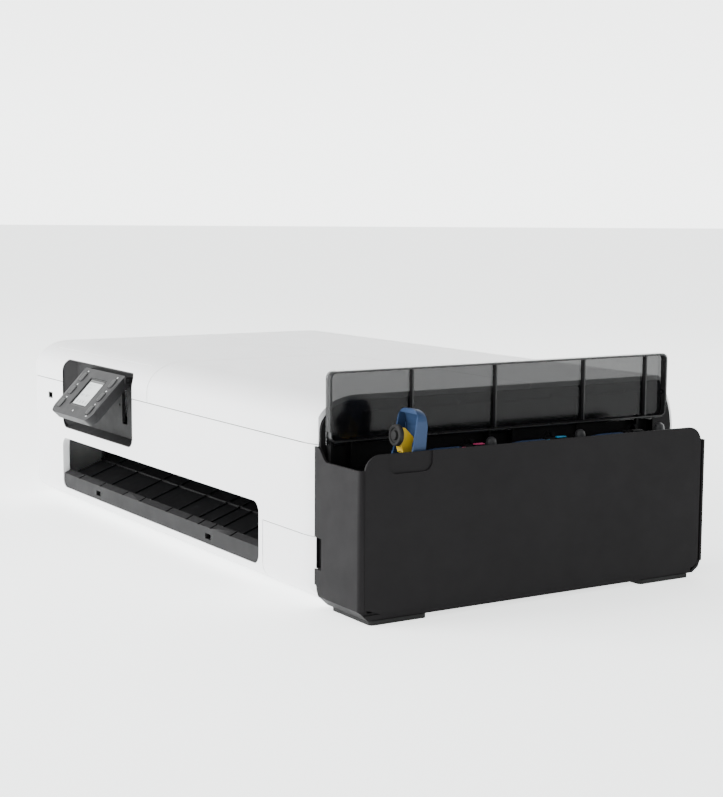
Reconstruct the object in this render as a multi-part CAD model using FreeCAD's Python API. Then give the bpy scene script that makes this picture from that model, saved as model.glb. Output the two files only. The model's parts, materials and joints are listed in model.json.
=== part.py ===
"""Large desktop inkjet printer with refillable ink tanks, as separate named solids.

Lengths are millimetres. +X is the printer's right, +Z is up, and the front faces -Y.
Every function works in depth coordinates: y is the distance behind the front face.
save() moves each solid into the part frame, whose origin is the centre of the box
around the whole printer, on the surface that it stands on.
"""
import FreeCAD, Part
import math
import os

V = FreeCAD.Vector

# ---- driving dimensions ----
HALF_WIDTH = 484.0
TOP = 237.0
UNDERSIDE = 6.0
WALL = 3.0
SEAM = 1.0
FRONT_SEAM_Z = 184.0
COVER_REAR = 297.0
BODY_RIGHT = 388.0
END_SKIN = 10.0
END_ROUND = 7.5
END_RIM = 6.0
END_CURVE_X = 361.0
END_CURVE_DROP = 5.0
END_BACKING = 8.0
PLATE_STEP_X = (-440.0, -90.0)
PLATE_STEP_Y = (20.8, 22.8)
PLATE_STEP_DEEP = 1.9
REAR_EDGE = 497.0
REAR_REACH = 525.0
LOW_CENTRE = (24.0, 30.0)
LOW_RADIUS = 24.0
NOSE_CENTRE = (52.0, 198.0)
REAR_CORNER_RADIUS = 8.0
BULGE_MIDDLE = (7.0, 205.0)
BULGE_FOOT_Z = 172.0
SKIRT = (490.0, 60.0)
SHELL_REACH = 60.0
COVER_LEFT = -59.5
SCREW_X = (-440.0, -60.0, 340.0)
SCREW_Z = (120.0, 160.0)
SCREW_SINK = 1.6

SLOT_X = (-368.6, 257.5)
SLOT_Z = (24.5, 100.0)
SLOT_R = 13.0
RIB_PLACES = (-308.0, -229.0, -147.0, -90.0, -4.0, 57.0, 93.0, 127.0, 181.0)
RIB_WIDTH = 3.0
RECESS_X = (-366.0, -109.0)
RECESS_Z = (116.0, 218.0)
RECESS_R = 14.0
RECESS_FLOOR = 15.0
RECESS_LIP = 1.5
RECESS_RAMP = (24.0, 6.0)
SLOT_PLATE_X = (-205.0, -125.0)
SLOT_PLATE_Z = (131.0, 196.0)
SLOT_PLATE_PROUD = 1.4
PLATE_SLOT_X = (-174.0, -156.5)
PLATE_SLOT_Z = (142.0, 190.0)
PLATE_HOLE = (-182.0, 168.0)
PLATE_HOLE_R = 2.2
USB_X = (-425.5, -408.5)
USB_Z = (154.5, 163.5)
INLET_X = (-440.0, -412.0)
INLET_Z = (70.0, 92.0)
SOCKETS_X = (-380.0, -300.0)
SOCKETS_Z = (92.0, 112.0)
LIP_HOLES = (-235.0, 120.0)
LIP_HOLE_HALF = 7.5
LIP_HOLE_Z = (30.5, 37.5)

PANEL_X = (-280.0, -138.0)
PANEL_LENGTH = 82.0
PANEL_THICK = 13.0
PANEL_SHELL = 11.0
PANEL_WALL = 2.5
PANEL_PIN_R = 2.2
KEY_PROUD = 0.8
KEY_ROUND = 4.5
PANEL_TOP = 210.0
PANEL_ROUND = 15.0
PANEL_AXIS = (5.0, 207.0)
PANEL_TILT = 44.0
BUTTON_SIZE = (13.0, 15.0)
BUTTON_DEPTHS = (0.199, 0.499, 0.79)
BUTTON_COLUMNS = (-262.5, -157.0)

DOOR_X = (268.2, 387.6)
DOOR_TOP = 80.0

INK_DEPTH = 490.0
INK_FRONT_TOP = 168.0
INK_TOP = 184.0
INK_BOTTOM = 5.0
INK_LOW = 16.0
INK_TOE_TOP = 19.0
INK_TOE_REACH = 12.0
INK_ROUND = 6.0
INK_RISE = 15.0
INK_RISE_X = 414.0
INK_RISE_RUN = 19.0
INK_FOOT_INSET = 5.0
NOTCH_X = (BODY_RIGHT, 403.0)
NOTCH_Z = (46.0, 82.0)
NOTCH_DEEP = 8.0
SIDE_SKIN = 2.5
SIDE_LOW = 11.5
SIDE_TOE = (27.0, 17.0)
SIDE_TOP_ROUND = 19.0
SIDE_HEEL_ROUND = 12.0

LID_AXIS = (400.0, 186.0)
LID_RIM_X = 480.6
LID_PLATE = 2.5
LID_DEPTH = 10.0
LID_Y = (8.0, 496.0)
LID_KNUCKLES = ((16.0, 38.0), (230.0, 260.0), (456.0, 478.0))
LID_ROUND = 8.0
LID_SKIN = 1.2
LID_RIBS = (117.0, 233.0, 365.0, 463.0)
LID_PIN_R = 1.5

TANKS = ("yellow", "magenta", "cyan", "black")
TANK_STARTS = (0.0, 100.0, 219.0, 337.0)
TANK_LENGTHS = (94.0, 108.0, 108.0, 118.0)
LEVER_X = (438.0, 478.0)
LEVER_AXIS = (70.5, 168.0)
LEVER_REACH = 60.0
LEVER_OPEN = 95.0
LEVER_PIN_R = 3.0
TANK_X = (397.0, 478.0)
TANK_Z = (30.0, 125.0)
TANK_WALL = 2.5
PORT_Y = 40.0
PORT_X = 458.0
PORT_TOP = 152.0
PORT_RADIUS = 9.0
PORT_BORE = 6.0
DECK_Z = (152.0, 155.0)

MEDIA_X = (-366.0, 255.0)
FRAME_LEFT = -462.0
FRAME_RIGHT = 372.0
SHEET_STEEL = 2.5
RUNNING = 0.05
EJECT_YZ = (122.0, 90.0)
FEED_YZ = (205.0, 90.0)
SPOOL_YZ = (385.0, 120.0)
SPOOL_RADIUS = 12.0
SPOOL_FIT = 0.3
STAR_Z = 105.0
PINCH_Z = 106.6
EJECT_SHAFT_R = 5.0
FEED_SHAFT_R = 6.0
EJECT_PULLEY_R = 10.2
FEED_PULLEY_R = 12.0
BELT_Y = 222.0
BELT_ENDS = (-438.0, 356.0)

FRONT_Y = -235.76
OVER = 1.0


# ---- basic solids ----
def box(x, y, z):
    """A block between three (low, high) pairs."""
    size = (x[1] - x[0], y[1] - y[0], z[1] - z[0])
    return Part.makeBox(*size, V(x[0], y[0], z[0]))


def rod(start, along, radius, length):
    """A round bar from start along a direction."""
    return Part.makeCylinder(radius, length, V(*start), V(*along))


def x_rod(x, yz, radius):
    """A round bar along X between two stations."""
    return rod((x[0], yz[0], yz[1]), (1, 0, 0), radius, x[1] - x[0])


def face_of(points):
    """A flat face with straight sides."""
    vectors = [V(*p) for p in points]
    return Part.Face(Part.makePolygon(vectors + vectors[:1]))


def bar_x(x, outline):
    """A (y, z) outline pushed along X."""
    return face_of([(x[0], y, z) for y, z in outline]).extrude(V(x[1] - x[0], 0, 0))


def bar_y(y, outline):
    """An (x, z) outline pushed along Y."""
    return face_of([(x, y[0], z) for x, z in outline]).extrude(V(0, y[1] - y[0], 0))


def round_edges(shape, radius, chosen):
    """Fillet the edges that the test picks."""
    return shape.makeFillet(radius, [e for e in shape.Edges if chosen(e)])


def runs_along(edge, axis):
    """True for a straight edge parallel to the axis."""
    if not isinstance(edge.Curve, Part.Line):
        return False
    return abs(edge.Curve.Direction.dot(V(*axis))) > 0.999


def soft_box(x, y, z, radius, axis):
    """A block whose four edges along one axis are rounded."""
    return round_edges(box(x, y, z), radius, lambda e: runs_along(e, axis))


def union(shapes):
    """One solid from overlapping pieces."""
    first = shapes[0]
    return first.fuse(shapes[1:]).removeSplitter() if len(shapes) > 1 else first


def group(shapes):
    """Separate solids kept side by side."""
    return Part.makeCompound(shapes)


def widen(pair, by):
    """A (low, high) pair grown at both ends."""
    return (pair[0] - by, pair[1] + by)


# ---- casing ----
def corner_arc(x, centre, radius, toward):
    """Quarter circle round a (y, z) centre, from its top or bottom to its front or rear."""
    reach_y, reach_z = toward * radius, toward * radius
    half = math.sqrt(0.5)
    return Part.Arc(V(x, centre[0], centre[1] + reach_z),
                    V(x, centre[0] + half * reach_y, centre[1] + half * reach_z),
                    V(x, centre[0] + reach_y, centre[1])).toShape()


def casing_face(x, inset):
    """Side profile of the white body at one station, shrunk by inset."""
    under, top, reach = UNDERSIDE + inset, TOP - inset, REAR_REACH - inset
    corner_r = REAR_CORNER_RADIUS - inset
    corner = (REAR_EDGE, TOP - REAR_CORNER_RADIUS)
    bulge = Part.Arc(V(x, corner[0] + corner_r, corner[1]), V(x, reach - BULGE_MIDDLE[0], BULGE_MIDDLE[1]),
                     V(x, reach, BULGE_FOOT_Z))

    def line(start, end):
        return Part.LineSegment(V(x, *start), V(x, *end)).toShape()

    edges = [corner_arc(x, LOW_CENTRE, LOW_RADIUS - inset, -1),
             line((inset, LOW_CENTRE[1]), (inset, NOSE_CENTRE[1])),
             nose_edge(x, NOSE_CENTRE, NOSE_CENTRE[0] - inset, top - NOSE_CENTRE[1]),
             line((NOSE_CENTRE[0], top), (corner[0], top)),
             corner_arc(x, corner, corner_r, 1),
             bulge.toShape(),
             line((reach, BULGE_FOOT_Z), (reach, SKIRT[1])),
             line((reach, SKIRT[1]), (SKIRT[0], under)),
             line((SKIRT[0], under), (LOW_CENTRE[0], under))]
    return Part.Face(Part.Wire(Part.__sortEdges__(edges)))


def nose_edge(x, centre, depth, height):
    """The elliptical front shoulder, from the front face up to the top."""
    if depth >= height:
        curve = Part.Ellipse(V(x, centre[0] - depth, centre[1]), V(x, centre[0], centre[1] + height),
                             V(x, *centre))
        return curve.toShape(0, math.pi / 2)
    curve = Part.Ellipse(V(x, centre[0], centre[1] + height), V(x, centre[0] + depth, centre[1]),
                         V(x, *centre))
    return curve.toShape(0, math.pi / 2)


def casing_block(x, inset):
    """The whole white body as one solid."""
    return casing_face(x[0], inset).extrude(V(x[1] - x[0], 0, 0))


def rounded_right_front():
    """What the gentle curve takes off the right end of the front."""
    run = BODY_RIGHT - END_CURVE_X
    radius = (run * run + END_CURVE_DROP * END_CURVE_DROP) / (2 * END_CURVE_DROP)
    block = box((END_CURVE_X, BODY_RIGHT + OVER), (-OVER, radius), (-OVER, TOP + OVER))
    return block.cut(rod((END_CURVE_X, radius, -OVER), (0, 0, 1), radius, TOP + 2 * OVER))


def casing():
    """(outer solid, wall thickness only) of the white body, thicker behind the right end's curve."""
    outer = casing_block((-HALF_WIDTH, BODY_RIGHT), 0.0)
    outer = round_edges(outer, END_ROUND, lambda e: e.BoundBox.XMax < -HALF_WIDTH + 0.01)
    outer = outer.cut(rounded_right_front().common(box((300, 400), (-OVER, 40), (0, TOP + OVER))))
    inner = casing_block((-HALF_WIDTH + END_SKIN, BODY_RIGHT - WALL), WALL)
    inner = inner.cut(box((END_CURVE_X, BODY_RIGHT), (-OVER, END_BACKING), (0, TOP)))
    mouth = casing_block((BODY_RIGHT - WALL - OVER, BODY_RIGHT + OVER), END_RIM)
    return outer, outer.cut([inner, mouth])


def recess_block(grow, y):
    """The rounded prism that the control recess is cut with."""
    return soft_box(widen(RECESS_X, grow), y, widen(RECESS_Z, grow), RECESS_R + grow, (0, 1, 0))


def slot_block(grow, y):
    """The rounded prism that the paper exit is cut with."""
    return soft_box(widen(SLOT_X, grow), y, widen(SLOT_Z, grow), SLOT_R + grow, (0, 1, 0))


def front_panel(shell):
    """Lower front shell with its paper exit, control recess and door opening."""
    keep = box((-HALF_WIDTH, BODY_RIGHT), (-OVER, SHELL_REACH), (0, FRONT_SEAM_Z - SEAM / 2))
    collar = slot_block(2.5, (1.0, 10.0))
    panel = shell.common(keep).fuse(collar)
    panel = panel.cut(slot_block(0.0, (-OVER, 12.0)))
    panel = panel.cut(recess_block(0.2, (-OVER, 30.0)))
    panel = panel.cut(box((DOOR_X[0] - 1.2, BODY_RIGHT + OVER), (-OVER, 14.0), (0, DOOR_TOP + 0.8)))
    panel = panel.cut(usb_block(0.2, (-OVER, 12.0)))
    return panel


def usb_block(grow, y):
    """The prism of the USB socket's opening."""
    return box(widen(USB_X, grow), y, widen(USB_Z, grow))


def upper_left_shell(shell):
    """Top shell left of the access cover, with the plate's front step line."""
    keep = box((-HALF_WIDTH, COVER_LEFT), (-OVER, COVER_REAR - SEAM), (FRONT_SEAM_Z + SEAM / 2, TOP + OVER))
    groove = box(PLATE_STEP_X, PLATE_STEP_Y, (226.0, TOP))
    skin = shell.common(groove).cut(casing_block(widen(PLATE_STEP_X, OVER), PLATE_STEP_DEEP))
    return shell.common(keep).cut(recess_block(0.2, (-OVER, 30.0))).cut(skin)


def access_cover(shell):
    """Lifting cover over the paper path."""
    keep = box((COVER_LEFT + SEAM, BODY_RIGHT), (-OVER, COVER_REAR - SEAM),
               (FRONT_SEAM_Z + SEAM / 2, TOP + OVER))
    return shell.common(keep)


def roll_cover(shell):
    """Rear top cover over the roll bay."""
    return shell.common(box((-HALF_WIDTH + END_SKIN, BODY_RIGHT), (COVER_REAR + 1.0, REAR_EDGE - 2.4),
                            (200.0, TOP + OVER)))


def rear_panel(shell):
    """Rear wall with openings for the mains inlet and the data sockets."""
    back = shell.common(box((-HALF_WIDTH, BODY_RIGHT), (REAR_EDGE - 1.2, REAR_REACH + OVER),
                            (0, TOP + OVER)))
    back = back.cut(box(INLET_X, (500.0, 530.0), INLET_Z))
    back = back.cut(box(SOCKETS_X, (500.0, 530.0), SOCKETS_Z))
    for x, z in screw_places():
        back = back.cut(rod((x, REAR_REACH - SCREW_SINK, z), (0, 1, 0), 4.4, 5.0))
    return union([back, rear_sockets()])


def left_end_cover(shell):
    """Left end of the casing behind the front shells."""
    x = (-HALF_WIDTH, -HALF_WIDTH + END_SKIN)
    lower = shell.common(box(x, (SHELL_REACH, REAR_EDGE - 1.2), (0, FRONT_SEAM_Z - SEAM / 2)))
    upper = shell.common(box((x[0], x[1] - 0.4), (COVER_REAR - SEAM, REAR_EDGE - 1.2),
                             (FRONT_SEAM_Z - SEAM, TOP + OVER)))
    return union([lower, upper])


def maintenance_door(shell):
    """Door over the maintenance cartridge, hinged at its left edge."""
    return shell.common(box(DOOR_X, (-OVER, 13.0), (0, DOOR_TOP)))


def control_bezel(outer):
    """Dark tub that the tilting panel folds into, with its slotted plate."""
    tub = outer.common(recess_block(0.0, (-OVER, RECESS_FLOOR + WALL)))
    hollow = recess_block(-RECESS_LIP, (-OVER, RECESS_FLOOR))
    left, low = RECESS_X[0] + RECESS_LIP, RECESS_Z[0] + RECESS_LIP
    side = face_of([(left - OVER, RECESS_LIP, 0), (left, RECESS_LIP, 0),
                    (left + RECESS_RAMP[0], RECESS_FLOOR + OVER, 0), (left - OVER, RECESS_FLOOR + OVER, 0)])
    below = bar_x(RECESS_X, [(RECESS_LIP, low - OVER), (RECESS_LIP, low),
                             (RECESS_FLOOR + OVER, low + RECESS_RAMP[1]), (RECESS_FLOOR + OVER, low - OVER)])
    tub = tub.cut(hollow.cut([side.extrude(V(0, 0, TOP)), below]))
    plate = box(SLOT_PLATE_X, (RECESS_FLOOR - SLOT_PLATE_PROUD, RECESS_FLOOR), SLOT_PLATE_Z)
    plate = plate.cut(rod((PLATE_HOLE[0], 5.0, PLATE_HOLE[1]), (0, 1, 0), PLATE_HOLE_R, 20.0))
    tub = tub.fuse(plate).cut(box(PLATE_SLOT_X, (5.0, 20.0), PLATE_SLOT_Z))
    return union([tub] + panel_bearings())


def usb_port():
    """Socket for a memory stick."""
    shell = usb_block(0.0, (0.6, 18.0)).cut(usb_block(-1.6, (0.0, 12.0)))
    tongue = box((-421.0, -413.0), (3.0, 13.0), (158.6, 160.4))
    return shell.fuse(tongue)


def output_lip():
    """Rib along the bottom of the paper exit, with two rectangular holes."""
    outline = [(1.2, 24.9), (6.0, 24.9), (6.0, 42.0), (13.0, 47.0), (11.0, 50.0), (1.2, 45.5)]
    lip = bar_x(widen(SLOT_X, -0.4), outline)
    for x in LIP_HOLES:
        lip = lip.cut(box((x - LIP_HOLE_HALF, x + LIP_HOLE_HALF), (0, 20), LIP_HOLE_Z))
    half_notch = RIB_WIDTH / 2 + 0.4
    for x in RIB_PLACES:
        lip = lip.cut(box((x - half_notch, x + half_notch), (0, 20), (45.0, 51.0)))
    return lip.common(slot_block(-0.3, (0, 20)))


def exit_guides():
    """Ribbed ramp that the print slides down, and the dark guide above it."""
    plate = bar_x(MEDIA_X, [(15.0, 44.0), (112.0, 80.0), (112.0, 77.0), (15.0, 41.0)])
    rib = [(15.0, 43.0), (15.0, 46.0), (112.0, 82.0), (112.0, 79.0)]
    ribs = [bar_x((x - RIB_WIDTH / 2, x + RIB_WIDTH / 2), rib) for x in RIB_PLACES]
    ridge = bar_x(MEDIA_X, [(60.0, 59.5), (60.0, 63.0), (62.5, 64.0), (62.5, 60.5)])
    legs = [bar_x((x, x + 6.0), [(30.0, 12.0), (100.0, 12.0), (100.0, 74.0), (30.0, 48.0)])
            for x in (MEDIA_X[0], MEDIA_X[1] - 6.0)]
    guide = bar_x(MEDIA_X, [(17.0, 106.0), (104.0, 122.0), (104.0, 125.0), (17.0, 109.0)])
    return group([union([plate, ridge] + ribs + legs), guide])


# ---- chassis and paper path ----
def base_tray():
    """Bottom chassis under the casing and the ink block."""
    tray = box((-474.0, 388.0), (60.6, REAR_EDGE - 8.0), (UNDERSIDE, 12.0))
    arm = box((BODY_RIGHT, 476.0), (61.0, 470.0), (INK_BOTTOM + WALL, 12.0))
    walls = [box((x, x + 3.0), (140.0, 480.0), (12.0, 40.0)) for x in (-456.0, 366.0)]
    return union([tray, arm] + walls + cradle_posts())


def rubber_feet():
    """Four feet under the chassis."""
    left = [soft_box((-470.0, -430.0), y, (0, UNDERSIDE), 6.0, (0, 0, 1))
            for y in ((66.0, 116.0), (395.0, 473.0))]
    right = [soft_box((402.0, HALF_WIDTH - 0.5), y, (0, INK_BOTTOM), 5.0, (0, 0, 1))
             for y in ((14.0, 87.0), (392.0, 470.0))]
    return group(left + right)


def side_frames():
    """Steel side plates that carry the rail and rollers."""
    plates = []
    for x in (FRAME_LEFT, FRAME_RIGHT):
        plate = box((x, x + SHEET_STEEL), (100.0, 290.0), (12.0, 205.0))
        for yz, radius in ((EJECT_YZ, EJECT_SHAFT_R), (FEED_YZ, FEED_SHAFT_R)):
            plate = plate.cut(x_rod((x - OVER, x + SHEET_STEEL + OVER), yz, radius + RUNNING))
        plates.append(plate)
    return group(plates)


def stations(start, end, count):
    """Evenly spaced places between two ends."""
    return [start + (end - start) * (i + 0.5) / count for i in range(count)]


def eject_roller():
    """Shaft that pushes the print out, with rubber rings and a belt pulley."""
    shaft = x_rod((FRAME_LEFT - 8.0, FRAME_RIGHT + SHEET_STEEL), EJECT_YZ, EJECT_SHAFT_R)
    rings = [x_rod((x - 8.0, x + 8.0), EJECT_YZ, 8.5) for x in stations(*MEDIA_X, 12)]
    pulley = x_rod((FRAME_LEFT - 8.0, FRAME_LEFT - 1.0), EJECT_YZ, EJECT_PULLEY_R)
    return union([shaft, pulley] + rings)


def feed_roller():
    """Main feed roller with its belt pulley."""
    shaft = x_rod((FRAME_LEFT - 8.0, FRAME_RIGHT + SHEET_STEEL), FEED_YZ, FEED_SHAFT_R)
    pulley = x_rod((FRAME_LEFT - 8.0, FRAME_LEFT - 1.0), FEED_YZ, FEED_PULLEY_R)
    return union([shaft, pulley, x_rod(MEDIA_X, FEED_YZ, 10.0)])


def wheel_row(yz, shaft_r, wheel_r, width, count):
    """A thin shaft with spaced wheels."""
    shaft = x_rod(widen(MEDIA_X, 6.0), yz, shaft_r)
    wheels = [x_rod((x - width / 2, x + width / 2), yz, wheel_r) for x in stations(*MEDIA_X, count)]
    return union([shaft] + wheels)


def feed_belt():
    """Toothed belt that ties the eject roller to the feed roller."""
    thick, gap = 1.4, 0.3
    x = (FRAME_LEFT - 7.0, FRAME_LEFT - 2.0)

    def loop(extra):
        length = FEED_YZ[0] - EJECT_YZ[0]
        r_eject, r_feed = EJECT_PULLEY_R + gap + extra, FEED_PULLEY_R + gap + extra
        lean = (r_feed - r_eject) / length
        span = math.sqrt(1 - lean * lean)
        outline = [(yz[0] - lean * r, yz[1] + side * span * r)
                   for side, order in ((1, 1), (-1, -1))
                   for yz, r in ((EJECT_YZ, r_eject), (FEED_YZ, r_feed))[::order]]
        return union([bar_x(x, outline), x_rod(x, EJECT_YZ, r_eject), x_rod(x, FEED_YZ, r_feed)])

    return loop(thick).cut(loop(0.0))


def platen():
    """Ribbed table under the print head, on two end legs."""
    x = widen(MEDIA_X, 8.0)
    table = box(x, (136.0, 190.0), (90.0, 98.0))
    ribs = [box((s - 1.5, s + 1.5), (138.0, 188.0), (98.0, 99.5)) for s in stations(*MEDIA_X, 25)]
    legs = [box((a, a + 8.0), (140.0, 186.0), (12.0, 90.0)) for a in (x[0], x[1] - 8.0)]
    return union([table] + ribs + legs)


def guide_rail():
    """Folded steel rail that the carriage runs along."""
    x = (FRAME_LEFT + SHEET_STEEL, FRAME_RIGHT)
    return union([box(x, (238.0, 241.0), (118.0, 190.0)), box(x, (238.0, 262.0), (118.0, 121.0)),
                  box(x, (238.0, 262.0), (187.0, 190.0))])


def carriage():
    """Print head carriage at its home place, with a shoe that meets the rail."""
    body = soft_box((285.0, 365.0), (140.0, 208.0), (117.0, 190.0), 5.0, (0, 0, 1))
    well = box((290.0, 360.0), (145.0, 203.0), (140.0, 200.0))
    shoe = box((290.0, 360.0), (205.0, 237.5), (166.0, 176.0))
    return union([body.cut(well), shoe])


def print_head():
    """Nozzle block that hangs under the carriage."""
    return union([box((300.0, 350.0), (150.0, 182.0), (103.0, 117.0)),
                  box((304.0, 346.0), (153.0, 179.0), (102.0, 103.0))])


def pulley(x):
    """Flanged belt pulley on an upright axis."""
    at = (x, BELT_Y)
    return union([rod((*at, 148.0), (0, 0, 1), 9.6, 1.2), rod((*at, 149.2), (0, 0, 1), 8.0, 9.0),
                  rod((*at, 158.2), (0, 0, 1), 9.6, 1.2)])


def carriage_belt():
    """Carriage belt around both pulleys."""
    z = (149.8, 157.6)

    def loop(radius):
        rounds = [rod((x, BELT_Y, z[0]), (0, 0, 1), radius, z[1] - z[0]) for x in BELT_ENDS]
        return union([box(BELT_ENDS, (BELT_Y - radius, BELT_Y + radius), z)] + rounds)

    return loop(9.4).cut(loop(8.2))


def motor(at, along, radius, length, shaft_r, shaft):
    """Electric motor can with its short shaft."""
    can = rod(at, along, radius, length)
    nose = [a + d * length for a, d in zip(at, along)]
    return union([can, rod(nose, along, shaft_r, shaft)])


def drive_motors():
    """Motors of the carriage belt and of the paper feed."""
    return group([motor((BELT_ENDS[0], BELT_Y, 100.0), (0, 0, 1), 15.0, 40.0, 2.5, 7.8),
                  motor((-415.0, 250.0, 60.0), (-1, 0, 0), 19.0, 36.0, 2.5, 6.0)])


def maintenance_station():
    """Capping and wiping unit under the home place."""
    base = box((284.0, 366.0), (140.0, 198.0), (74.0, 92.0))
    cap = box((300.0, 350.0), (150.0, 182.0), (92.0, 99.0))
    cap = cap.cut(box((302.0, 348.0), (152.0, 180.0), (94.0, 100.0)))
    wiper = box((290.0, 292.0), (150.0, 182.0), (92.0, 101.0))
    legs = [box((x, x + 6.0), (140.0, 198.0), (12.0, 74.0)) for x in (284.0, 360.0)]
    return union([base, cap, wiper] + legs)


def maintenance_cartridge():
    """Replaceable waste ink box behind its door."""
    body = soft_box((278.0, 368.0), (16.0, 130.0), (12.3, 72.0), 4.0, (0, 1, 0))
    grip = box((312.0, 348.0), (10.0, 16.0), (30.0, 36.0))
    return union([body, grip])


def roll_spool():
    """Spindle with a flange at each end for a paper roll."""
    shaft = x_rod((-379.0, 269.0), SPOOL_YZ, SPOOL_RADIUS)
    flanges = [x_rod((x, x + 6.0), SPOOL_YZ, 62.0) for x in (-366.0, 250.0)]
    hubs = [x_rod(x, SPOOL_YZ, 24.0) for x in ((-360.0, -336.0), (226.0, 250.0))]
    return union([shaft] + flanges + hubs)


def cradle_posts():
    """Two slotted posts that hold the spindle's ends."""
    posts = []
    radius = SPOOL_RADIUS + SPOOL_FIT
    for x in (-380.0, 262.0):
        span = (x, x + 8.0)
        post = box(span, (360.0, 410.0), (12.0, SPOOL_YZ[1] + 22.0))
        post = post.cut(x_rod(widen(span, OVER), SPOOL_YZ, radius))
        mouth = (SPOOL_YZ[0] - radius, SPOOL_YZ[0] + radius)
        post = post.cut(box(widen(span, OVER), mouth, (SPOOL_YZ[1], 150.0)))
        posts.append(post)
    return posts


# ---- ink block ----
def ink_inner_wall():
    """Dark end wall between the body and the ink bay."""
    wall = casing_block((BODY_RIGHT + 0.6, BODY_RIGHT + 3.6), END_RIM)
    wall = wall.cut(box((BODY_RIGHT, BODY_RIGHT + 5.0), (60.0, 471.0), (0.0, 12.6)))
    ledge = box((BODY_RIGHT + 3.6, BODY_RIGHT + 7.4), (60.0, 484.0), (216.0, 219.0))
    return union([wall, ledge])


def ink_front_outline(left):
    """Outline of the block's front wall: low at the right, rising in a curve to the left."""
    low_left = [(left, INK_LOW + 12.0), (left + 1.4, INK_LOW + 5.5)]
    outline = [(left + INK_FOOT_INSET, INK_LOW), (HALF_WIDTH, INK_LOW),
               (HALF_WIDTH, INK_FRONT_TOP), (INK_RISE_X, INK_FRONT_TOP)]
    for t in (0.25, 0.5, 0.75, 1.0):
        ease = 3 * t * t - 2 * t ** 3
        outline.append((INK_RISE_X - INK_RISE_RUN * t, INK_FRONT_TOP + INK_RISE * ease))
    return outline + [(left, INK_FRONT_TOP + INK_RISE)] + low_left


def ink_heel():
    """(y, z) outline of the chamfered strip between the floor and the rear wall."""
    return [(INK_DEPTH - 18.0, INK_BOTTOM), (INK_DEPTH - 13.0, INK_BOTTOM),
            (INK_DEPTH - 4.0, INK_BOTTOM + 6.0), (INK_DEPTH, INK_BOTTOM + 15.0),
            (INK_DEPTH - WALL, INK_BOTTOM + 17.0), (INK_DEPTH - 7.0, INK_BOTTOM + 9.0)]


def ink_toe():
    """(y, z) outline of the strip that slopes back from the front wall to the foot."""
    foot = (INK_TOE_REACH, INK_TOE_REACH + WALL)
    return [(0.0, INK_LOW), (0.0, INK_TOE_TOP), (8.5, INK_TOE_TOP),
            (foot[1], INK_BOTTOM + WALL), (foot[1], INK_BOTTOM), (foot[0], INK_BOTTOM)]


def ink_housing():
    """Front, rear and floor of the ink block."""
    left = BODY_RIGHT + 4.0
    foot_x = (left + INK_FOOT_INSET, HALF_WIDTH - 1.5)
    floor_y = (INK_TOE_REACH, INK_DEPTH - 16.0)
    front = bar_y((0.0, WALL), ink_front_outline(left))
    wing = box((BODY_RIGHT + 0.6, left), (0.0, 2.0), (INK_LOW + 12.0, INK_FRONT_TOP + INK_RISE))
    returns = box((HALF_WIDTH - WALL, HALF_WIDTH), (0.0, 6.0), (INK_LOW, INK_FRONT_TOP))
    rear = box((left, HALF_WIDTH), (INK_DEPTH - WALL, INK_DEPTH), (INK_BOTTOM + 14.0, INK_FRONT_TOP))
    floor = box(foot_x, floor_y, (INK_BOTTOM, INK_BOTTOM + WALL))
    band = box((foot_x[1] - 2.5, foot_x[1]), floor_y, (INK_BOTTOM, SIDE_LOW + 2.0))
    strips = [bar_x(foot_x, ink_toe()), bar_x(foot_x, ink_heel())]
    envelope = box((BODY_RIGHT, HALF_WIDTH), (0.0, INK_DEPTH), (0.0, INK_TOP))
    envelope = round_edges(envelope, INK_ROUND,
                           lambda e: runs_along(e, (0, 0, 1)) and is_at(e, HALF_WIDTH, 0.0))
    housing = union([front, wing, returns, rear, floor, band] + strips).common(envelope)
    housing = housing.cut([side_block(0.3), box(NOTCH_X, (-OVER, NOTCH_DEEP), NOTCH_Z)])
    return union([housing, finger_cup()])


def is_at(edge, x, y):
    """True for an edge whose middle stands over (x, y)."""
    middle = edge.BoundBox.Center
    return abs(middle.x - x) < 0.05 and abs(middle.y - y) < 0.05


def finger_cup():
    """Cup behind the notch beside the door."""
    outer = box((BODY_RIGHT + 4.0, NOTCH_X[1] + 2.0), (WALL, NOTCH_DEEP + 1.6), widen(NOTCH_Z, 2.0))
    return outer.cut(box(NOTCH_X, (0, NOTCH_DEEP), NOTCH_Z))


def side_block(grow):
    """The right side panel's outer shape, grown into the room that it fits in."""
    x = (HALF_WIDTH - SIDE_SKIN - grow, HALF_WIDTH + grow)
    panel = box(x, widen((6.3, 484.0), grow), widen((SIDE_LOW, INK_TOP), grow))
    panel = round_edges(panel, SIDE_TOP_ROUND + grow,
                        lambda e: runs_along(e, (1, 0, 0)) and e.BoundBox.Center.z > INK_TOP / 2)
    return round_edges(panel, SIDE_HEEL_ROUND + grow,
                       lambda e: runs_along(e, (1, 0, 0)) and e.BoundBox.Center.z < INK_TOP / 2
                       and e.BoundBox.Center.y > INK_DEPTH / 2)


def ink_side_panel():
    """Right side panel with a shallow finger scoop at its top edge."""
    panel = side_block(0.0)
    scoop = soft_box((HALF_WIDTH - 1.5, HALF_WIDTH + 5.0), (35.0, 92.0), (162.0, 210.0), 11.0, (1, 0, 0))
    toe = bar_x((HALF_WIDTH - 5.0, HALF_WIDTH + OVER),
                [(0.0, 0.0), (0.0, SIDE_TOE[1]), (10.0, SIDE_TOE[1]),
                 (SIDE_TOE[0], SIDE_LOW), (SIDE_TOE[0], 0.0)])
    return panel.cut([scoop, toe])


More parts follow.
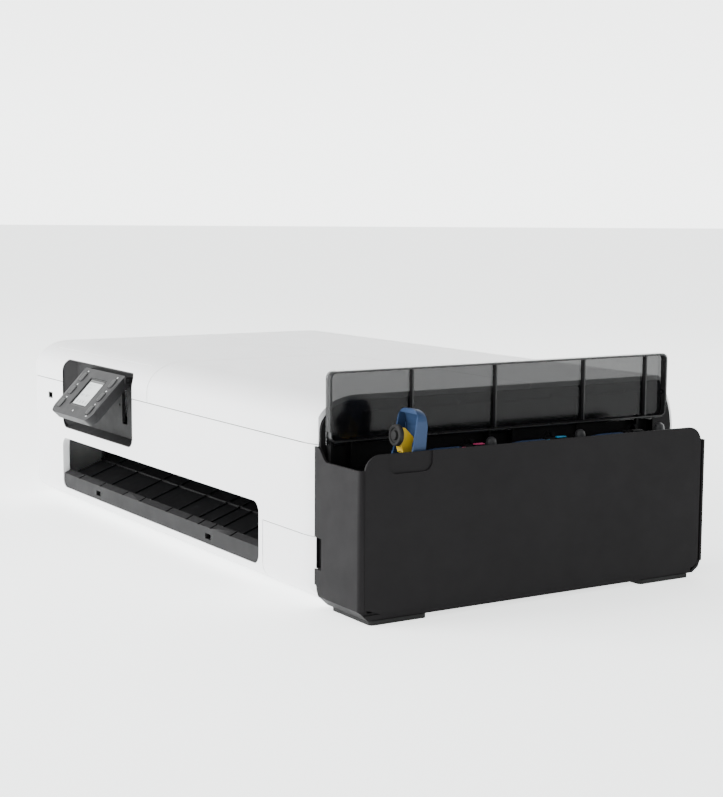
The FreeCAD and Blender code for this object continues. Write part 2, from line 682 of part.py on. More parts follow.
def ink_tank(index):
    """Refillable tank with an open filler neck."""
    start = TANK_STARTS[index] + 10.0
    y = (start, start + TANK_LENGTHS[index])
    outer = box(TANK_X, y, TANK_Z)
    inner = box(widen(TANK_X, -TANK_WALL), widen(y, -TANK_WALL), widen(TANK_Z, -TANK_WALL))
    port = (PORT_X, TANK_STARTS[index] + PORT_Y)
    roof = TANK_Z[1] - TANK_WALL
    neck = rod((*port, roof), (0, 0, 1), PORT_RADIUS, PORT_TOP - roof)
    bore = rod((*port, roof - OVER), (0, 0, 1), PORT_BORE, PORT_TOP - roof + 2 * OVER)
    return outer.cut(inner).fuse(neck).cut(bore)


def tank_deck():
    """Deck over the tanks with an opening, and lever ears, for each tank."""
    deck = box((392.2, 480.0), (4.0, 486.0), DECK_Z)
    ears = []
    for index in range(len(TANKS)):
        start = TANK_STARTS[index]
        deck = deck.cut(box((441.0, 475.0), (start + 12.0, start + 60.0), widen(DECK_Z, 1.0)))
        for x in ((LEVER_X[0] - 4.0, LEVER_X[0] - 1.0), (LEVER_X[1] + 0.6, LEVER_X[1] + 2.8)):
            y_axis = start + LEVER_AXIS[0]
            ear = box(x, (y_axis - 6.0, y_axis + 6.0), (DECK_Z[1], LEVER_AXIS[1] + 5.0))
            ears.append(ear.cut(x_rod(widen(x, OVER), (y_axis, LEVER_AXIS[1]), LEVER_PIN_R + RUNNING)))
    legs = [box((x, x + 2.0), (4.0, 8.0), (INK_TOE_TOP, DECK_Z[0])) for x in (407.0, 477.5)]
    return union([deck] + ears + legs + label_posts() + lid_hinge())


def label_posts():
    """Posts that carry a coloured mark beside each filler, one per tank."""
    return [box((428.0, 433.0), (TANK_STARTS[i] + 85.0, TANK_STARTS[i] + 99.0), (DECK_Z[1], 176.5))
            for i in range(len(TANKS))]


def turned(shape, yz, angle):
    """A copy turned about an axis along X."""
    copy = shape.copy()
    copy.rotate(V(0, yz[0], yz[1]), V(1, 0, 0), angle)
    return copy


def lever_swing(shape, index):
    """Place a lever part: the first tank's lever stands open."""
    placed = shape.copy()
    placed.translate(V(0, TANK_STARTS[index], 0))
    if index:
        return placed
    return turned(placed, LEVER_AXIS, -LEVER_OPEN)


def ink_lever(index):
    """Flap lever that seals one filler, drawn closed and then placed."""
    y, z = LEVER_AXIS
    tip = y - LEVER_REACH
    outline = [(tip, z + 2.0), (tip, z + 9.0), (tip + 4.0, z + 12.0), (tip + 18.0, z + 15.0),
               (y - 14.0, z + 15.0), (y + 2.0, z + 5.0), (y, z - 5.0), (y - 8.0, z - 2.0)]
    flap = bar_x(LEVER_X, outline)
    flap = round_edges(flap, 13.0,
                       lambda e: abs(e.BoundBox.Center.y - tip) < 0.1 and e.BoundBox.ZLength > 5.0)
    hollow = bar_x((LEVER_X[0] + 2.5, LEVER_X[1] - 2.5),
                   [(tip + 5.0, z - 10.0), (tip + 5.0, z + 8.0), (tip + 18.0, z + 12.5),
                    (y - 15.0, z + 12.5), (y - 8.0, z + 6.0), (y - 8.0, z - 10.0)])
    barrel = x_rod(LEVER_X, LEVER_AXIS, 6.0)
    pin = x_rod((LEVER_X[0] - 4.0, LEVER_X[1] + 2.8), LEVER_AXIS, LEVER_PIN_R)
    return lever_swing(union([flap.cut(hollow), barrel, pin]), index)


def ink_plug(index):
    """Coloured arm under the lever, and the rubber plug on its end."""
    y, z = LEVER_AXIS
    seat = PORT_TOP + 7.5
    arm = bar_x((PORT_X - 6.0, PORT_X + 6.0),
                [(y - 8.5, z + 3.0), (y - 14.0, z + 11.0), (y - 27.0, z + 11.0), (PORT_Y - 9.0, seat + 6.5),
                 (PORT_Y - 9.0, seat), (PORT_Y + 9.0, seat), (y - 13.0, z - 5.0)])
    cap = rod((PORT_X, PORT_Y, PORT_TOP + 0.3), (0, 0, 1), 12.0, seat - PORT_TOP - 0.3)
    return group([lever_swing(arm, index), lever_swing(cap, index)])


def ink_cover():
    """Clear grey lid over the ink bay, drawn shut and then stood open."""
    x_axis, z_axis = LID_AXIS
    top = z_axis + 1.5
    x = (x_axis - 1.0, LID_RIM_X)
    under = (top - LID_DEPTH - OVER, top - LID_PLATE)
    tray = lid_block(x, LID_Y, (top - LID_DEPTH, top), LID_ROUND)
    well = lid_block((x[0] - OVER, x[1] - LID_SKIN), widen(LID_Y, -LID_SKIN), under, LID_ROUND - LID_SKIN)
    shell = tray.cut(well).cut(box((x[0] - OVER, x_axis + 14.0), widen(LID_Y, OVER), under))
    for low, high in LID_KNUCKLES:
        for y in ((low - 5.0, low), (high, high + 5.0)):
            shell = shell.cut(box((x[0] - OVER, x_axis + 5.0), y, widen((top - LID_PLATE, top), OVER)))
    ribs = [box((x_axis + 5.0, LID_RIM_X - LID_SKIN), (y, y + 1.5), (top - LID_PLATE - 2.0, top - LID_PLATE))
            for y in LID_RIBS]
    bores = [rod((x_axis, y[0] - OVER, z_axis), (0, 1, 0), LID_PIN_R + RUNNING, y[1] - y[0] + 2 * OVER)
             for y in LID_KNUCKLES]
    barrels = [rod((x_axis, y[0], z_axis), (0, 1, 0), 3.2, y[1] - y[0]) for y in LID_KNUCKLES]
    lid = union([shell] + ribs + barrels).cut(bores)
    lid.rotate(V(x_axis, 0, z_axis), V(0, 1, 0), -90.0)
    return lid


def lid_block(x, y, z, radius):
    """A block with its two far upright edges rounded."""
    return round_edges(box(x, y, z), radius,
                       lambda e: runs_along(e, (0, 0, 1)) and abs(e.BoundBox.Center.x - x[1]) < 0.01)


def lid_hinge():
    """Pins and posts that carry the lid."""
    pieces = []
    for low, high in LID_KNUCKLES:
        for y in ((low - 4.0, low - 0.5), (high + 0.5, high + 4.0)):
            pieces.append(box((392.2, LID_AXIS[0] + 3.0), y, (DECK_Z[1], LID_AXIS[1] + 3.0)))
        pieces.append(rod((LID_AXIS[0], low - 4.0, LID_AXIS[1]), (0, 1, 0), LID_PIN_R, high - low + 8.0))
    return pieces


# ---- tilting control panel ----
def panel_place(shape):
    """Turn a control panel part from upright to its resting tilt."""
    return turned(shape, PANEL_AXIS, -PANEL_TILT)


def panel_point(across, down):
    """(x, z) on the upright panel's face from fractions of its size."""
    return (PANEL_X[0] + across * (PANEL_X[1] - PANEL_X[0]), PANEL_TOP - down * PANEL_LENGTH)


def lcd_window_box(y, grow=0.0):
    """Block over the display window."""
    left, top = panel_point(0.321, 0.202)
    right, bottom = panel_point(0.697, 0.748)
    return box((left - grow, right + grow), y, (bottom - grow, top + grow))


def panel_housing():
    """Front shell of the tilting panel, with the display and button openings."""
    z = (PANEL_TOP - PANEL_LENGTH, PANEL_TOP)
    body = box(PANEL_X, (0.0, PANEL_SHELL), z)
    body = round_low_edges(body, PANEL_ROUND, z[0] + 1.0)
    body = round_edges(body, 3.0, lambda e: runs_along(e, (0, 1, 0)) and e.BoundBox.Center.z > z[1] - 1.0)
    body = body.cut(panel_hollow())
    body = body.cut(lcd_window_box((-OVER, 5.0), 2.0))
    for x, z_button in button_places():
        body = body.cut(button_block(x, z_button, 0.35, (-OVER, 5.0)))
    pins = [x_rod(x, PANEL_AXIS, PANEL_PIN_R) for x in ((PANEL_X[0] - 4.0, PANEL_X[0] + 4.0),
                                               (PANEL_X[1] - 4.0, PANEL_X[1] + 4.0))]
    return panel_place(union([body] + pins))


def panel_hollow():
    """Space inside the panel's front shell."""
    low = PANEL_TOP - PANEL_LENGTH
    hollow = box(widen(PANEL_X, -PANEL_WALL), (PANEL_WALL, PANEL_SHELL + OVER),
                 (low + PANEL_WALL, PANEL_TOP - PANEL_WALL))
    return round_low_edges(hollow, PANEL_ROUND - PANEL_WALL, low + PANEL_WALL + 1.0)


def round_low_edges(shape, radius, below):
    """Round the corners of the panel's outline that lie under a height."""
    return round_edges(shape, radius, lambda e: runs_along(e, (0, 1, 0)) and e.BoundBox.Center.z < below)


def panel_back():
    """Back cover of the tilting panel."""
    z = (PANEL_TOP - PANEL_LENGTH, PANEL_TOP)
    plate = box(PANEL_X, (PANEL_SHELL, PANEL_THICK), z)
    return panel_place(round_low_edges(plate, PANEL_ROUND, z[0] + 1.0))


def lcd_screen():
    """Display module under the window."""
    return panel_place(lcd_window_box((0.9, 7.0), 1.8))


def button_places():
    """(x, z) centre of each button on the upright panel."""
    return [(x, PANEL_TOP - down * PANEL_LENGTH) for x in BUTTON_COLUMNS for down in BUTTON_DEPTHS]


def button_block(x, z, grow, y):
    """Rounded prism of one button."""
    half_x, half_z = BUTTON_SIZE[0] / 2 + grow, BUTTON_SIZE[1] / 2 + grow
    return soft_box((x - half_x, x + half_x), y, (z - half_z, z + half_z), KEY_ROUND + grow, (0, 1, 0))


def button(x, z):
    """Key cap that stands a little proud of the panel."""
    return panel_place(button_block(x, z, 0.0, (-KEY_PROUD, 4.5)))


def panel_bearings():
    """Blocks on the recess floor that hold the panel's pins."""
    blocks = []
    for x in ((PANEL_X[0] - 4.5, PANEL_X[0] - 0.5), (PANEL_X[1] + 0.5, PANEL_X[1] + 4.5)):
        block = box(x, (1.5, RECESS_FLOOR), (202.5, 211.0))
        blocks.append(block.cut(x_rod(widen(x, OVER), PANEL_AXIS, PANEL_PIN_R + RUNNING)))
    return blocks


# ---- electrics ----
def main_board():
    """Controller board on the left, with a few tall parts."""
    board = box((-450.0, -448.4), (300.0, 470.0), (60.0, 190.0))
    tall = 24.0
    parts = [box((-448.4, -440.0), (y, y + tall), (z, z + tall))
             for y in (320.0, 380.0, 430.0) for z in (80.0, 140.0)]
    return union([board] + parts)


def power_supply():
    """Boxed mains power supply."""
    return box((-446.0, -384.0), (300.0, 470.0), (12.0, 56.0))


def power_inlet():
    """Two-pin mains inlet in the rear."""
    body = box(widen(INLET_X, -0.5), (490.0, 522.0), widen(INLET_Z, -0.5))
    return body.cut(box(widen(INLET_X, -4.0), (505.0, 523.0), widen(INLET_Z, -4.0)))


def rear_sockets():
    """Moulded wells for the network and data sockets."""
    plate = box(widen(SOCKETS_X, 1.0), (505.0, 523.0), widen(SOCKETS_Z, 1.0))
    for x, half in ((-362.0, 8.0), (-318.0, 6.0)):
        plate = plate.cut(box((x - half, x + half), (508.0, 523.0), widen(SOCKETS_Z, -3.0)))
    return plate


def casing_screws():
    """Rear casing screws."""
    return group([rod((x, REAR_REACH - SCREW_SINK, z), (0, 1, 0), 4.0, 1.4) for x, z in screw_places()])


def screw_places():
    """(x, z) of each screw in the rear panel."""
    return [(x, z) for x in SCREW_X for z in SCREW_Z]


def save(name, shape):
    """Write one node, moved into the part frame."""
    placed = shape.copy()
    placed.translate(V(0, FRONT_Y, 0))
    placed.exportStep(os.path.join("parts", name + ".step"))


def build():
    """Every node of the printer by name."""
    outer, shell = casing()
    nodes = {
        "base_tray": base_tray(), "rubber_feet": rubber_feet(), "front_panel": front_panel(shell),
        "left_end_cover": left_end_cover(shell),
        "upper_left_shell": upper_left_shell(shell), "access_cover": access_cover(shell),
        "roll_cover": roll_cover(shell), "rear_panel": rear_panel(shell),
        "maintenance_door": maintenance_door(shell), "control_bezel": control_bezel(outer),
        "usb_port": usb_port(), "output_lip": output_lip(), "exit_guides": exit_guides(),
        "side_frames": side_frames(), "platen": platen(),
        "eject_roller": eject_roller(), "feed_roller": feed_roller(), "feed_belt": feed_belt(),
        "star_wheels": wheel_row((EJECT_YZ[0], STAR_Z), 2.0, 6.0, 3.0, 24),
        "pinch_rollers": wheel_row((FEED_YZ[0], PINCH_Z), 2.5, 6.0, 20.0, 12),
        "guide_rail": guide_rail(), "carriage": carriage(), "print_head": print_head(),
        "drive_pulley": pulley(BELT_ENDS[0]), "idler_pulley": pulley(BELT_ENDS[1]),
        "carriage_belt": carriage_belt(),
        "drive_motors": drive_motors(),
        "maintenance_station": maintenance_station(), "maintenance_cartridge": maintenance_cartridge(),
        "roll_spool": roll_spool(),
        "ink_inner_wall": ink_inner_wall(), "ink_housing": ink_housing(),
        "ink_side_panel": ink_side_panel(), "tank_deck": tank_deck(),
        "ink_cover": ink_cover(),
        "panel_housing": panel_housing(), "panel_back": panel_back(), "lcd_screen": lcd_screen(),
        "main_board": main_board(), "power_supply": power_supply(), "power_inlet": power_inlet(),
        "casing_screws": casing_screws(),
    }
    names = ("home", "up", "down", "stop", "ok", "menu")
    for name, place in zip(names, button_places()):
        nodes["button_" + name] = button(*place)
    for index, colour in enumerate(TANKS):
        nodes["ink_tank_" + colour] = ink_tank(index)
        nodes["ink_lever_" + colour] = ink_lever(index)
        nodes["ink_plug_" + colour] = ink_plug(index)
    return nodes


def main():
    """Build and write all nodes, and print the size."""
    os.makedirs("parts", exist_ok=True)
    nodes = build()
    for name, shape in nodes.items():
        save(name, shape)
        if not shape.isValid():
            print("not valid:", name)
    whole = Part.makeCompound(list(nodes.values())).optimalBoundingBox()
    print(len(nodes), "nodes:", whole)


main()
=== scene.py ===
"""Looks of the large desktop inkjet printer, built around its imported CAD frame.

Everything is in metres in the frame's own axes: the front faces -Y and +Z is up.
"""

import json
import math

import bmesh
import bpy
from mathutils import Matrix, Vector


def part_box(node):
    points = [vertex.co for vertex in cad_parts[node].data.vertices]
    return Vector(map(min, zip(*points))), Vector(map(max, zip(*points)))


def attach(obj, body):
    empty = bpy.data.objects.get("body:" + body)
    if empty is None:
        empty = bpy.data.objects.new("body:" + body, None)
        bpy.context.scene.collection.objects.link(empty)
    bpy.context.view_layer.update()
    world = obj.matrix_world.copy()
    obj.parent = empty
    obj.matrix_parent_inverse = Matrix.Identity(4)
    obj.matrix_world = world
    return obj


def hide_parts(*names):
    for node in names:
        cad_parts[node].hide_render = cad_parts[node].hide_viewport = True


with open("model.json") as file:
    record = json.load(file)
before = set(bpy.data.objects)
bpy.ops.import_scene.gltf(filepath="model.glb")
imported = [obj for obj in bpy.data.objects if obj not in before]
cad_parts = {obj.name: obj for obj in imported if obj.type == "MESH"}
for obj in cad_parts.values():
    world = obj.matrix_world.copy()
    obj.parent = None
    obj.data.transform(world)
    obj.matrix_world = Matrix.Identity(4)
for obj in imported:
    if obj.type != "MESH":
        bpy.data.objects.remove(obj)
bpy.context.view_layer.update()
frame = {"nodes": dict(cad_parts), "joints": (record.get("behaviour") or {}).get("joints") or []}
MM = 0.001
NODES = frame["nodes"]


# ---- camera, floor and light ----
CAMERA_PLACE = (1.88643, -1.10229, 0.43810)
CAMERA_TURN = math.radians(58.254)
CAMERA_DIP = math.radians(6.666)
CAMERA_ROLL = math.radians(0.315)
CAMERA_LENS = 71.854
SENSOR_WIDTH = 36.0
FLOOR_REACH = 60.0
WORLD_STRENGTH = 4.6
WORLD_OVERHEAD = 0.8
WORLD_FLAG = 0.3
FLOOR_GLOW = 1.7
STUDIO_TINT = (0.982, 1.0, 0.992, 1.0)
HORIZON_BAND = (0.05, 0.8)
FLAG_BAND = (-0.1, 0.7)
LIGHTS = (("key", (-1.2, -3.0, 1.5), (-0.1, 0.0, 0.12), (2.4, 1.6), 210.0),
          ("fill", (0.2, -1.8, 3.2), (0.0, 0.0, 0.0), (3.0, 2.0), 30.0),
          ("rim", (-1.6, 2.6, 2.4), (0.0, 0.1, 0.15), (2.0, 1.0), 22.0))


def add_camera():
    """The camera, from the printer's front right corner and a little above it."""
    data = bpy.data.cameras.new("camera")
    data.lens, data.sensor_width = CAMERA_LENS, SENSOR_WIDTH
    data.clip_start, data.clip_end = 0.05, 50.0
    level = math.cos(CAMERA_DIP)
    ahead = Vector((-math.sin(CAMERA_TURN) * level, math.cos(CAMERA_TURN) * level, -math.sin(CAMERA_DIP)))
    right = Vector((math.cos(CAMERA_TURN), math.sin(CAMERA_TURN), 0.0))
    up = right.cross(ahead)
    across = math.cos(CAMERA_ROLL) * right + math.sin(CAMERA_ROLL) * up
    above = math.cos(CAMERA_ROLL) * up - math.sin(CAMERA_ROLL) * right
    camera = bpy.data.objects.new("camera", data)
    bpy.context.scene.collection.objects.link(camera)
    turn = Matrix((across, above, -ahead)).transposed().to_4x4()
    camera.matrix_world = Matrix.Translation(Vector(CAMERA_PLACE)) @ turn
    bpy.context.scene.camera = camera


def add_light(name, place, aim, size, power):
    """A rectangular soft light that faces a point."""
    data = bpy.data.lights.new(name, "AREA")
    data.shape, data.size, data.size_y = "RECTANGLE", size[0], size[1]
    data.energy = power
    light = bpy.data.objects.new(name, data)
    bpy.context.scene.collection.objects.link(light)
    light.location = place
    light.rotation_mode = "QUATERNION"
    light.rotation_quaternion = (Vector(aim) - Vector(place)).to_track_quat("-Z", "Y")


def add_world():
    """A pale studio: brightest at the horizon, dimmer overhead, with a dark flag on the right."""
    world = bpy.data.worlds.new("studio")
    world.use_nodes = True
    tree = world.node_tree
    background = tree.nodes["Background"]
    background.inputs["Color"].default_value = STUDIO_TINT
    place = tree.nodes.new("ShaderNodeTexCoord")
    split = tree.nodes.new("ShaderNodeSeparateXYZ")
    tree.links.new(place.outputs["Generated"], split.inputs["Vector"])
    shades = []
    for axis, (start, end), (low, high) in (("Z", HORIZON_BAND, (WORLD_STRENGTH, WORLD_OVERHEAD)),
                                            ("X", FLAG_BAND, (1.0, WORLD_FLAG))):
        made = tree.nodes.new("ShaderNodeMapRange")
        made.inputs["From Min"].default_value, made.inputs["From Max"].default_value = start, end
        made.inputs["To Min"].default_value, made.inputs["To Max"].default_value = low, high
        tree.links.new(split.outputs[axis], made.inputs["Value"])
        shades.append(made.outputs["Result"])
    product = tree.nodes.new("ShaderNodeMath")
    product.operation = "MULTIPLY"
    for socket, shade in zip(product.inputs, shades):
        tree.links.new(shade, socket)
    tree.links.new(product.outputs[0], background.inputs["Strength"])
    bpy.context.scene.world = world


def add_studio():
    """Pale floor, pale world and soft lights."""
    add_world()
    mesh = bpy.data.meshes.new("floor")
    corners = [(-FLOOR_REACH, -FLOOR_REACH, 0), (FLOOR_REACH, -FLOOR_REACH, 0),
               (FLOOR_REACH, FLOOR_REACH, 0), (-FLOOR_REACH, FLOOR_REACH, 0)]
    mesh.from_pydata(corners, [], [(0, 1, 2, 3)])
    floor = bpy.data.objects.new("floor", mesh)
    bpy.context.scene.collection.objects.link(floor)
    mesh.materials.append(floor_paint())
    for light in LIGHTS:
        add_light(*light)


# ---- materials ----
def new_paint(name):
    """A material with its shader, and the shader itself."""
    paint = bpy.data.materials.new(name)
    paint.use_nodes = True
    tree = paint.node_tree
    return paint, tree, tree.nodes["Principled BSDF"]


def noise(tree, scale, detail=3.0, roughness=0.5):
    """A noise over the part's own coordinates, scale in features per metre."""
    place = tree.nodes.new("ShaderNodeTexCoord")
    made = tree.nodes.new("ShaderNodeTexNoise")
    made.inputs["Scale"].default_value = scale
    made.inputs["Detail"].default_value = detail
    made.inputs["Roughness"].default_value = roughness
    tree.links.new(place.outputs["Object"], made.inputs["Vector"])
    return made.outputs["Fac"]


def ramp(tree, value, low, high, start=0.3, end=0.7):
    """Two colours blended by a value."""
    made = tree.nodes.new("ShaderNodeValToRGB")
    made.color_ramp.elements[0].position, made.color_ramp.elements[1].position = start, end
    made.color_ramp.elements[0].color = (*low, 1.0)
    made.color_ramp.elements[1].color = (*high, 1.0)
    tree.links.new(value, made.inputs["Fac"])
    return made.outputs["Color"]


def spread(tree, value, low, high):
    """A value remapped from the middle of its run to a low and a high."""
    made = tree.nodes.new("ShaderNodeMapRange")
    made.inputs["From Min"].default_value, made.inputs["From Max"].default_value = 0.3, 0.7
    made.inputs["To Min"].default_value, made.inputs["To Max"].default_value = low, high
    tree.links.new(value, made.inputs["Value"])
    return made.outputs["Result"]


def bump(tree, height, strength, distance, under=None):
    """A bump from a height, over another one where given."""
    made = tree.nodes.new("ShaderNodeBump")
    made.inputs["Strength"].default_value = strength
    made.inputs["Distance"].default_value = distance
    tree.links.new(height, made.inputs["Height"])
    if under is not None:
        tree.links.new(under, made.inputs["Normal"])
    return made.outputs["Normal"]


def scaled(colour, factor):
    """A colour made lighter or darker."""
    return tuple(min(1.0, c * factor) for c in colour)


def moulded(name, colour, roughness=0.45, grain=1400.0, relief=0.1, shift=0.04, rough_shift=0.05,
            specular=0.5):
    """Moulded plastic: fine spark-eroded grain, a faint waviness and slow drifts of tone and gloss."""
    paint, tree, shader = new_paint(name)
    tone = ramp(tree, noise(tree, 9.0, 4.0), scaled(colour, 1 - shift), scaled(colour, 1 + shift))
    tree.links.new(tone, shader.inputs["Base Color"])
    gloss = spread(tree, noise(tree, 45.0, 5.0), roughness - rough_shift, roughness + rough_shift)
    tree.links.new(gloss, shader.inputs["Roughness"])
    wave = bump(tree, noise(tree, 14.0, 1.0), 0.12, 0.0006)
    skin = bump(tree, noise(tree, grain, 3.0, 0.6), relief, 0.00012, wave)
    tree.links.new(skin, shader.inputs["Normal"])
    shader.inputs["Specular IOR Level"].default_value = specular
    return paint


def brushed(name, colour, roughness=0.3):
    """Drawn steel with fine lines along X."""
    paint, tree, shader = new_paint(name)
    place = tree.nodes.new("ShaderNodeTexCoord")
    stretch = tree.nodes.new("ShaderNodeMapping")
    stretch.inputs["Scale"].default_value = (30.0, 2400.0, 2400.0)
    lines = tree.nodes.new("ShaderNodeTexNoise")
    lines.inputs["Scale"].default_value = 1.0
    lines.inputs["Detail"].default_value = 3.0
    tree.links.new(place.outputs["Object"], stretch.inputs["Vector"])
    tree.links.new(stretch.outputs["Vector"], lines.inputs["Vector"])
    tone = ramp(tree, lines.outputs["Fac"], scaled(colour, 0.85), scaled(colour, 1.1))
    tree.links.new(tone, shader.inputs["Base Color"])
    gloss = spread(tree, lines.outputs["Fac"], roughness - 0.08, roughness + 0.12)
    tree.links.new(gloss, shader.inputs["Roughness"])
    tree.links.new(bump(tree, lines.outputs["Fac"], 0.15, 0.00005), shader.inputs["Normal"])
    shader.inputs["Metallic"].default_value = 1.0
    return paint


def clear(name, colour, roughness, alpha):
    """Tinted clear plastic: a film of its tint over what is behind."""
    paint, tree, shader = new_paint(name)
    tone = ramp(tree, noise(tree, 20.0, 3.0), scaled(colour, 0.94), scaled(colour, 1.06))
    tree.links.new(tone, shader.inputs["Base Color"])
    gloss = spread(tree, noise(tree, 60.0, 4.0), roughness - 0.03, roughness + 0.04)
    tree.links.new(gloss, shader.inputs["Roughness"])
    tree.links.new(bump(tree, noise(tree, 22.0, 2.0), 0.1, 0.0006), shader.inputs["Normal"])
    shader.inputs["Alpha"].default_value = alpha
    shader.inputs["Specular IOR Level"].default_value = 0.2
    shader.inputs["IOR"].default_value = 1.49
    return paint


def floor_paint():
    """Seamless pale studio paper."""
    paint, tree, shader = new_paint("studio_paper")
    tone = ramp(tree, noise(tree, 2.0, 2.0), (0.90, 0.915, 0.915), (0.915, 0.93, 0.93))
    tree.links.new(tone, shader.inputs["Base Color"])
    tree.links.new(bump(tree, noise(tree, 900.0, 2.0), 0.03, 0.0001), shader.inputs["Normal"])
    shader.inputs["Roughness"].default_value = 0.9
    shader.inputs["Specular IOR Level"].default_value = 0.1
    shader.inputs["Emission Color"].default_value = STUDIO_TINT
    shader.inputs["Emission Strength"].default_value = FLOOR_GLOW
    return paint


PAINTS = {
    "white_shell": moulded("white_shell", (0.80, 0.80, 0.81), 0.4, 1100.0, 0.08, 0.012),
    "bezel_plastic": moulded("bezel_plastic", (0.0135, 0.0132, 0.0138),
        0.55, 1500.0, 0.12, 0.05, 0.05, 0.08),
    "panel_plastic": moulded("panel_plastic", (0.0215, 0.0212, 0.0222),
        0.45, 1700.0, 0.08, 0.04, 0.05, 0.1),
    "key_plastic": moulded("key_plastic", (0.018, 0.018, 0.019), 0.38, 1900.0, 0.06, 0.04, 0.05, 0.15),
    "black_plastic": moulded("black_plastic", (0.004, 0.004, 0.0044), 0.5, 1300.0, 0.15, 0.1, 0.05, 0.08),
    "ink_block_plastic": moulded("ink_block_plastic", (0.0092, 0.0086, 0.0092),
        0.55, 1200.0, 0.16, 0.08, 0.05, 0.06),
    "smoke_clear": clear("smoke_clear", (0.004, 0.004, 0.0046), 0.12, 0.72),
    "lever_blue": moulded("lever_blue", (0.021, 0.040, 0.088), 0.36, 1500.0, 0.05, 0.04, 0.05, 0.12),
    "tank_clear": moulded("tank_clear", (0.6, 0.6, 0.58), 0.25, 900.0, 0.04),
    "display": moulded("display", (0.50, 0.52, 0.525), 0.12, 2500.0, 0.01, 0.01, 0.02),
    "steel": brushed("steel", (0.62, 0.63, 0.64)),
    "roller_rubber": moulded("roller_rubber", (0.008, 0.008, 0.008), 0.6, 700.0, 0.3, 0.15, 0.05, 0.2),
    "foot_rubber": moulded("foot_rubber", (0.008, 0.008, 0.008), 0.75, 500.0, 0.3, 0.1, 0.05, 0.2),
    "belt_rubber": moulded("belt_rubber", (0.028, 0.028, 0.028), 0.7, 1600.0, 0.3, 0.1),
    "board": moulded("board", (0.03, 0.14, 0.06), 0.35, 900.0, 0.2, 0.15),
    "plug_yellow": moulded("plug_yellow", (0.52, 0.34, 0.02), 0.38, 1500.0, 0.06),
    "plug_magenta": moulded("plug_magenta", (0.5, 0.04, 0.15), 0.38, 1500.0, 0.06),
    "plug_cyan": moulded("plug_cyan", (0.03, 0.28, 0.5), 0.38, 1500.0, 0.06),
    "plug_black": moulded("plug_black", (0.03, 0.03, 0.03), 0.38, 1500.0, 0.06),
    "display_glass": moulded("display_glass", (0.006, 0.006, 0.007), 0.08, 2500.0, 0.01, 0.1, 0.02),
    "display_ink": moulded("display_ink", (0.22, 0.23, 0.25), 0.3, 2500.0, 0.02),
    "icon_white": moulded("icon_white", (0.55, 0.56, 0.57), 0.4, 2500.0, 0.03),
    "smoke_rim": moulded("smoke_rim", (0.012, 0.012, 0.0125), 0.3, 1500.0, 0.05, 0.05, 0.05, 0.25),
    # Black of the bay hooks; the same black also stands as painted shade in the key gaps, the casing seams
    # and the door notch.
    "black_and_gap_shade": moulded("black_and_gap_shade", (0.004, 0.004, 0.0045), 0.6, 1500.0, 0.1, 0.1, 0.05, 0.1),
    "stud_grey": moulded("stud_grey", (0.032, 0.032, 0.034), 0.4, 1500.0, 0.1, 0.05, 0.05, 0.3),
}


# ---- mesh building ----
SMOOTH_ANGLE = math.radians(32.0)
SOFT_ANGLE = math.radians(38.0)


def piece(name, mesh_data, paint, body, place=None, bevel=0.0, segments=2):
    """A new piece from (points, faces), with its paint, its body and a softened edge."""
    mesh = bpy.data.meshes.new(name)
    mesh.from_pydata([tuple(p) for p in mesh_data[0]], [], mesh_data[1])
    work = bmesh.new()
    work.from_mesh(mesh)
    bmesh.ops.remove_doubles(work, verts=work.verts, dist=1e-7)
    bmesh.ops.recalc_face_normals(work, faces=work.faces)
    work.to_mesh(mesh)
    work.free()
    for face in mesh.polygons:
        face.use_smooth = True
    mesh.set_sharp_from_angle(angle=SMOOTH_ANGLE)
    if place is not None:
        mesh.transform(place)
    made = bpy.data.objects.new(name, mesh)
    bpy.context.scene.collection.objects.link(made)
    mesh.materials.append(PAINTS[paint])
    soften(made, bevel, segments)
    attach(made, body)
    return made


def soften(made, width, segments=2):
    """A small radius on the sharp edges, shaded as one moulding."""
    if width <= 0:
        return
    edge = made.modifiers.new("soft_edges", "BEVEL")
    edge.width, edge.segments = width, segments
    edge.limit_method, edge.angle_limit = "ANGLE", SOFT_ANGLE
    edge.harden_normals = True


def joined(*parts):
    """Several (points, faces) as one."""
    points, faces = [], []
    for more_points, more_faces in parts:
        start = len(points)
        points += more_points
        faces += [tuple(i + start for i in face) for face in more_faces]
    return points, faces


def rounded_outline(across, up, radius, steps=6):
    """Points round a rectangle (low, high) by (low, high) with round corners."""
    points = []
    centres = ((across[1] - radius, up[1] - radius), (across[0] + radius, up[1] - radius),
               (across[0] + radius, up[0] + radius), (across[1] - radius, up[0] + radius))
    for turn, (cx, cy) in enumerate(centres):
        for step in range(steps + 1):
            angle = math.radians(90.0) * (turn + step / steps)
            points.append((cx + radius * math.cos(angle), cy + radius * math.sin(angle)))
    return points


def circle(centre, radius, count=32):
    """Points round a circle."""
    return [(centre[0] + radius * math.cos(2 * math.pi * i / count),
             centre[1] + radius * math.sin(2 * math.pi * i / count)) for i in range(count)]


def slab(outline, low, high, lay):
    """A prism of an outline between two levels; lay turns (u, v, level) into a place."""
    count = len(outline)
    points = [lay(u, v, low) for u, v in outline] + [lay(u, v, high) for u, v in outline]
    faces = [tuple(range(count))[::-1], tuple(range(count, 2 * count))]
    faces += [(i, (i + 1) % count, (i + 1) % count + count, i + count) for i in range(count)]
    return points, faces


def frame_slab(outer, inner, low, high, lay):
    """A prism ring between two outlines that have as many points."""
    count = len(outer)
    rings = [(outer, low), (outer, high), (inner, high), (inner, low)]
    points = [lay(u, v, level) for outline, level in rings for u, v in outline]
    faces = []
    for ring in range(4):
        a, b = ring * count, (ring + 1) % 4 * count
        faces += [(a + i, a + (i + 1) % count, b + (i + 1) % count, b + i) for i in range(count)]
    return points, faces


